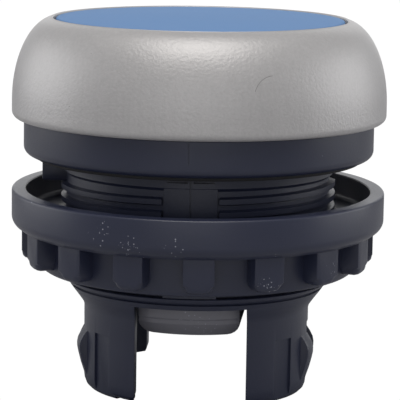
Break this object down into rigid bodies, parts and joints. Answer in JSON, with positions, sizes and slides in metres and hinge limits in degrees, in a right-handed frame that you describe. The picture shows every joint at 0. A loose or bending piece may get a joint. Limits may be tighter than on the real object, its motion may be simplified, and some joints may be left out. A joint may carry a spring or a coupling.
{
  "type": "push button operator head",
  "caption": "Flush momentary push button head with a domed bezel, threaded shaft, panel gasket, ribbed lock nut and bayonet legs.",
  "frame": {"origin": "on the button's axis, level with the tips of the legs", "axes": "+Z along the axis towards the cap; -Y towards the front parting line of the shaft"},
  "size_m": [0.0298, 0.0298, 0.0295],
  "materials": {
    "bezel_silver": "satin silver lacquer on plastic",
    "cap_blue": "matte blue",
    "carrier_natural": "natural",
    "housing_black": "satin black, moulded",
    "nut_black": "satin black, moulded",
    "ram_grey": "satin grey",
    "seal_rubber": "matte",
    "spring_steel": "drawn wire"
  },
  "bodies": {
    "housing": {"housing": "housing_black", "bezel_ring": "bezel_silver", "clamp_ring": "housing_black", "diaphragm_seal": "seal_rubber", "panel_gasket": "seal_rubber", "return_spring": "spring_steel"},
    "button": {"button_cap": "cap_blue", "button_carrier": "carrier_natural", "ram": "ram_grey"},
    "lock_nut": {"lock_nut": "nut_black"}
  },
  "joints": [
    {"name": "button_press", "type": "slide", "parent": "housing", "child": "button", "axis": [0, 0, -1], "range_m": [0, 0.0052], "stiffness_N_per_m": 500, "springref_m": -0.003, "deforming": ["return_spring", "diaphragm_seal"]},
    {"name": "nut_travel", "type": "slide", "parent": "housing", "child": "lock_nut", "axis": [0, 0, 1], "range_m": [-0.0035, 0.0014]}
  ]
}
